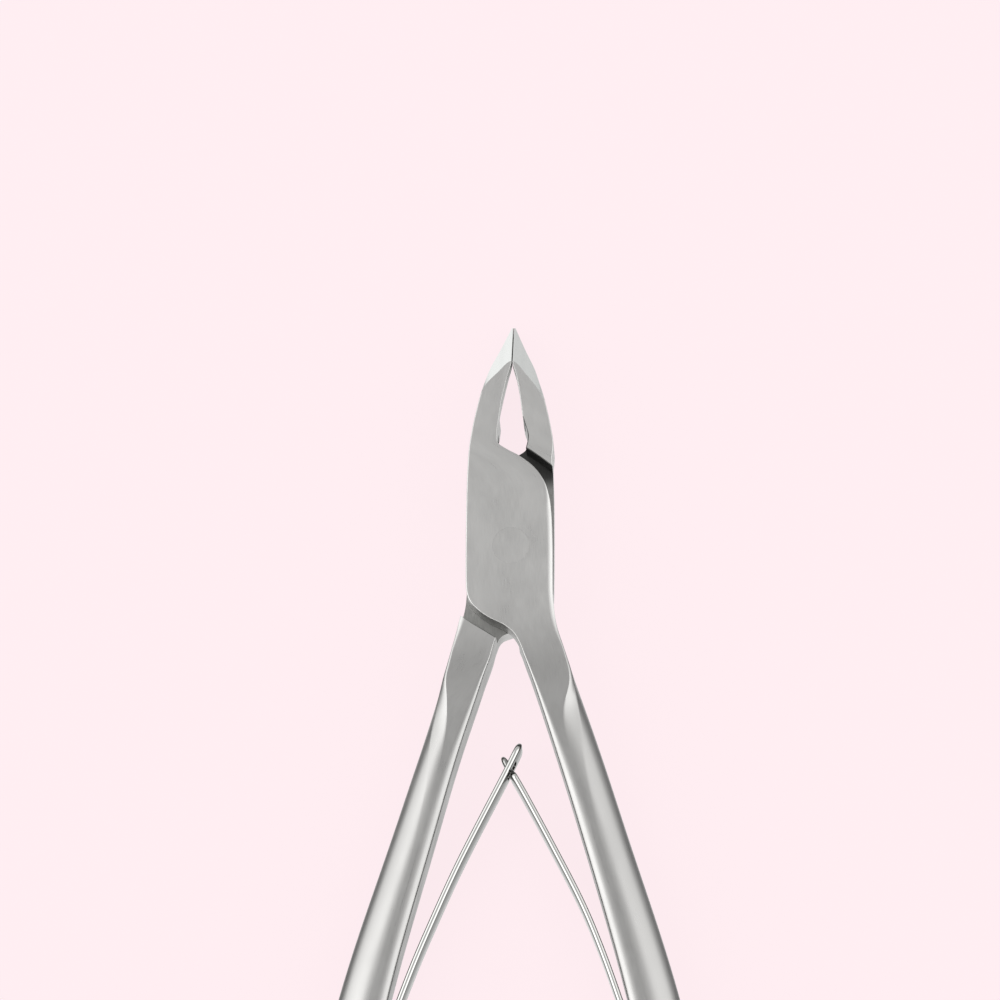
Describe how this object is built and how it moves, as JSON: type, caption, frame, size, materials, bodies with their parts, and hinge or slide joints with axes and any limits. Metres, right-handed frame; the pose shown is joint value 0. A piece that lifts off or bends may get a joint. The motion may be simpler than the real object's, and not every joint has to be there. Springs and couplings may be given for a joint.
{
  "type": "cuticle nipper",
  "caption": "Lap-jointed steel cuticle nipper with pointed bevelled jaws, bowed crowned handles and two hooked leaf springs that push the handles apart.",
  "frame": {"origin": "on the pivot axis, in the plane of the flat rear face that the tool rests on", "axes": "+Z out of the front face along the pivot axis, +Y along the tool towards the tips of the jaws, +X across it to the handle of the front lever"},
  "size_m": [0.0516, 0.1187, 0.007],
  "materials": {
    "satin_steel": "satin",
    "spring_steel": "polished",
    "screw_steel": "polished"
  },
  "bodies": {
    "front_lever_body": {"front_lever": "satin_steel", "pivot_rivet": "satin_steel", "right_spring_screw": "screw_steel"},
    "rear_lever_body": {"rear_lever": "satin_steel", "left_spring_screw": "screw_steel"},
    "right_leaf_body": {"right_spring_leaf": "spring_steel"},
    "left_leaf_body": {"left_spring_leaf": "spring_steel"}
  },
  "joints": [
    {"name": "jaw_pivot", "type": "hinge", "parent": "front_lever_body", "child": "rear_lever_body", "pos_m": [0, 0, 0.0035], "axis": [0, 0, -1], "range_deg": [0, 12], "stiffness_Nm_per_rad": 1.5, "springref_deg": 12, "deforming": ["right_spring_leaf", "left_spring_leaf"]},
    {"name": "right_leaf_flex", "type": "hinge", "parent": "front_lever_body", "child": "right_leaf_body", "pos_m": [0.012, -0.053, 0.0035], "axis": [0, 0, 1], "range_deg": [0, 6.6], "deforming": ["right_spring_leaf"]},
    {"name": "left_leaf_flex", "type": "hinge", "parent": "rear_lever_body", "child": "left_leaf_body", "pos_m": [-0.0124, -0.053, 0.0035], "axis": [0, 0, -1], "range_deg": [0, 6.6], "deforming": ["left_spring_leaf"]}
  ],
  "couplings": [
    {"joint": "right_leaf_flex", "follows": "jaw_pivot", "ratio": 0.54},
    {"joint": "left_leaf_flex", "follows": "jaw_pivot", "ratio": 0.54}
  ]
}
